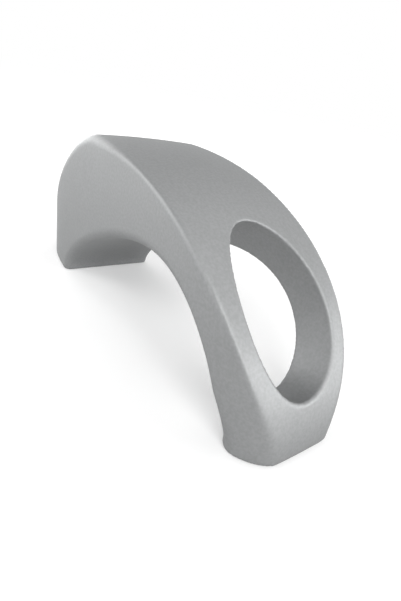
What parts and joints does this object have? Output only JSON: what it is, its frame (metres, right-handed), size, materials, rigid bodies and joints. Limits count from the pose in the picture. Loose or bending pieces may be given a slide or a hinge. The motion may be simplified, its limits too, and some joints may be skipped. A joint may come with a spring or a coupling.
{
  "type": "cabinet knob",
  "caption": "Cast bow-shaped cabinet knob on two flat feet, with a finger gap under the arch and a long hole through one leg.",
  "frame": {"origin": "middle of the footprint, on the plane where the feet meet the door", "axes": "+X along the knob from the heavy foot to the slender foot, +Y across it, +Z away from the door"},
  "size_m": [0.0752, 0.0208, 0.0294],
  "materials": {
    "satin_chrome": "satin"
  },
  "bodies": {
    "root": {"knob_body": "satin_chrome"}
  },
  "joints": []
}
